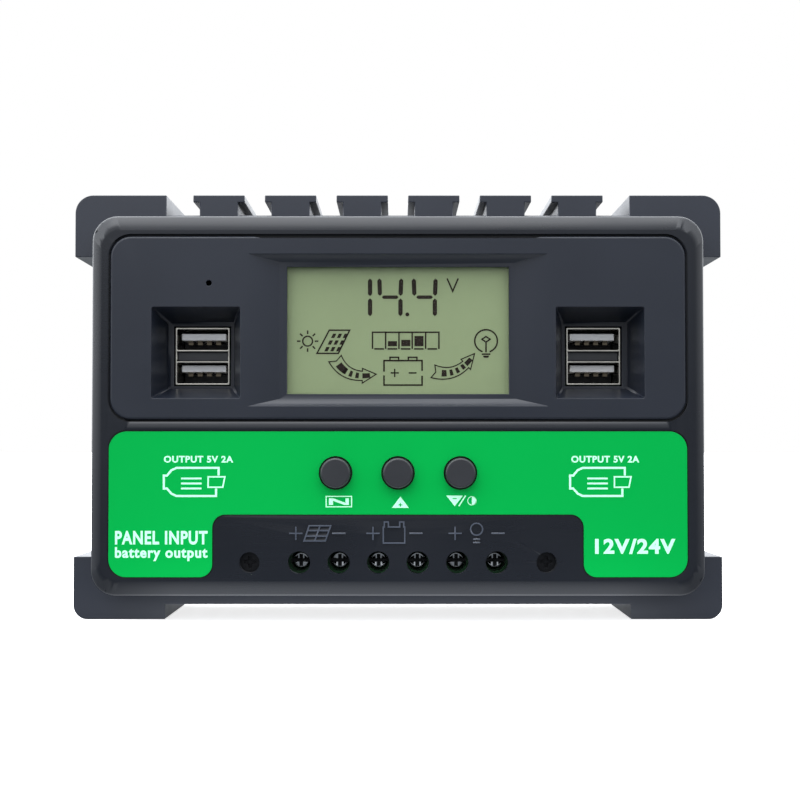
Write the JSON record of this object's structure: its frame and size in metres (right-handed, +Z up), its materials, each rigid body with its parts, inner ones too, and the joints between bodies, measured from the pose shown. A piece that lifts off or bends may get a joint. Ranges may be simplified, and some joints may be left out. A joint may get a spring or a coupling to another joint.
{
  "type": "solar charge controller",
  "caption": "Wall-mounted solar charge controller: ribbed box with display, push buttons, charging sockets and a row of screw-clamp wire terminals.",
  "frame": {"origin": "centre of the rear mounting face", "axes": "+X to the right seen from the front, +Y into the wall, +Z up; the front faces -Y"},
  "size_m": [0.1612, 0.056, 0.1056],
  "materials": {
    "case_plastic": "fine moulded texture, dark blue-grey",
    "panel_plastic": "fine moulded texture, slightly lighter dark blue-grey",
    "label_print": "satin printed film, bright green with pale print",
    "clear_sheet": "clear polished sheet",
    "lcd_cell": "grey-green reflective display cell with dark segments",
    "black_moulding": "black moulded resin",
    "light_guide": "milky light guide",
    "gold_contact": "gold flashed contact",
    "circuit_board": "green solder resist over glass laminate",
    "zinc_steel": "bright zinc plating",
    "black_steel": "black oxide",
    "lamp_lens": "diffused lamp body",
    "button_plastic": "satin black",
    "terminal_plastic": "green glass-filled moulding",
    "tinned_bar": "tinned copper",
    "screw_head_steel": "nickel plated steel",
    "aluminium": "extruded, as drawn",
    "pad_grey": "soft silicone pad",
    "can_sleeve": "shrink sleeve on aluminium can",
    "ring_core": "coated powder core",
    "copper_wire": "enamelled copper",
    "fuse_amber": "translucent orange moulding"
  },
  "bodies": {
    "case": {"rear_housing": "case_plastic", "front_cover": "case_plastic", "display_panel": "panel_plastic", "front_label": "label_print", "lcd_window": "clear_sheet", "lcd_glass": "lcd_cell", "lcd_frame": "black_moulding", "header_socket": "black_moulding", "header_strip": "black_moulding", "switch_bodies": "black_moulding", "usb_insulators": "black_moulding", "mosfet_bodies": "black_moulding", "buzzer": "black_moulding", "chip_packages": "black_moulding", "fuse_holder": "black_moulding", "lcd_backlight": "light_guide", "lcd_pins": "gold_contact", "header_pins": "gold_contact", "usb_contacts": "gold_contact", "display_board": "circuit_board", "main_board": "circuit_board", "display_board_screws": "zinc_steel", "board_screws": "zinc_steel", "heat_sink_screws": "zinc_steel", "heat_sink_spacers": "zinc_steel", "usb_shell_left": "zinc_steel", "usb_shell_right": "zinc_steel", "case_screws_front": "black_steel", "case_screws_rear": "black_steel", "status_led": "lamp_lens", "terminal_block_panel": "terminal_plastic", "terminal_block_battery": "terminal_plastic", "terminal_block_load": "terminal_plastic", "terminal_bars": "tinned_bar", "mosfet_tabs": "tinned_bar", "shunts": "tinned_bar", "heat_sink": "aluminium", "thermal_pads": "pad_grey", "capacitors": "can_sleeve", "inductor_core": "ring_core", "inductor_winding": "copper_wire", "fuse": "fuse_amber"},
    "button_view": {"button_cap_view": "button_plastic", "switch_plunger_view": "button_plastic"},
    "button_up": {"button_cap_up": "button_plastic", "switch_plunger_up": "button_plastic"},
    "button_down": {"button_cap_down": "button_plastic", "switch_plunger_down": "button_plastic"},
    "clamp_screw_1": {"terminal_screw_1": "screw_head_steel"},
    "cage_1": {"wire_cage_1": "zinc_steel"},
    "clamp_screw_2": {"terminal_screw_2": "screw_head_steel"},
    "cage_2": {"wire_cage_2": "zinc_steel"},
    "clamp_screw_3": {"terminal_screw_3": "screw_head_steel"},
    "cage_3": {"wire_cage_3": "zinc_steel"},
    "clamp_screw_4": {"terminal_screw_4": "screw_head_steel"},
    "cage_4": {"wire_cage_4": "zinc_steel"},
    "clamp_screw_5": {"terminal_screw_5": "screw_head_steel"},
    "cage_5": {"wire_cage_5": "zinc_steel"},
    "clamp_screw_6": {"terminal_screw_6": "screw_head_steel"},
    "cage_6": {"wire_cage_6": "zinc_steel"}
  },
  "joints": [
    {"name": "press_view", "type": "slide", "parent": "case", "child": "button_view", "axis": [0, 1, 0], "range_m": [0, 0.0005], "stiffness_N_per_m": 1500, "springref_m": -0.0002},
    {"name": "press_up", "type": "slide", "parent": "case", "child": "button_up", "axis": [0, 1, 0], "range_m": [0, 0.0005], "stiffness_N_per_m": 1500, "springref_m": -0.0002},
    {"name": "press_down", "type": "slide", "parent": "case", "child": "button_down", "axis": [0, 1, 0], "range_m": [0, 0.0005], "stiffness_N_per_m": 1500, "springref_m": -0.0002},
    {"name": "turn_screw_1", "type": "hinge", "parent": "case", "child": "clamp_screw_1", "pos_m": [-0.02375, -0.0429, -0.0378], "axis": [0, 1, 0], "range_deg": [0, 1810]},
    {"name": "lift_cage_1", "type": "slide", "parent": "case", "child": "cage_1", "axis": [0, -1, 0], "range_m": [0, 0.0035]},
    {"name": "turn_screw_2", "type": "hinge", "parent": "case", "child": "clamp_screw_2", "pos_m": [-0.01425, -0.0429, -0.0378], "axis": [0, 1, 0], "range_deg": [0, 1810]},
    {"name": "lift_cage_2", "type": "slide", "parent": "case", "child": "cage_2", "axis": [0, -1, 0], "range_m": [0, 0.0035]},
    {"name": "turn_screw_3", "type": "hinge", "parent": "case", "child": "clamp_screw_3", "pos_m": [-0.00475, -0.0429, -0.0378], "axis": [0, 1, 0], "range_deg": [0, 1810]},
    {"name": "lift_cage_3", "type": "slide", "parent": "case", "child": "cage_3", "axis": [0, -1, 0], "range_m": [0, 0.0035]},
    {"name": "turn_screw_4", "type": "hinge", "parent": "case", "child": "clamp_screw_4", "pos_m": [0.00475, -0.0429, -0.0378], "axis": [0, 1, 0], "range_deg": [0, 1810]},
    {"name": "lift_cage_4", "type": "slide", "parent": "case", "child": "cage_4", "axis": [0, -1, 0], "range_m": [0, 0.0035]},
    {"name": "turn_screw_5", "type": "hinge", "parent": "case", "child": "clamp_screw_5", "pos_m": [0.01425, -0.0429, -0.0378], "axis": [0, 1, 0], "range_deg": [0, 1810]},
    {"name": "lift_cage_5", "type": "slide", "parent": "case", "child": "cage_5", "axis": [0, -1, 0], "range_m": [0, 0.0035]},
    {"name": "turn_screw_6", "type": "hinge", "parent": "case", "child": "clamp_screw_6", "pos_m": [0.02375, -0.0429, -0.0378], "axis": [0, 1, 0], "range_deg": [0, 1810]},
    {"name": "lift_cage_6", "type": "slide", "parent": "case", "child": "cage_6", "axis": [0, -1, 0], "range_m": [0, 0.0035]}
  ],
  "couplings": [
    {"joint": "turn_screw_1", "follows": "lift_cage_1", "rad_per_m": 8976},
    {"joint": "turn_screw_2", "follows": "lift_cage_2", "rad_per_m": 8976},
    {"joint": "turn_screw_3", "follows": "lift_cage_3", "rad_per_m": 8976},
    {"joint": "turn_screw_4", "follows": "lift_cage_4", "rad_per_m": 8976},
    {"joint": "turn_screw_5", "follows": "lift_cage_5", "rad_per_m": 8976},
    {"joint": "turn_screw_6", "follows": "lift_cage_6", "rad_per_m": 8976}
  ]
}
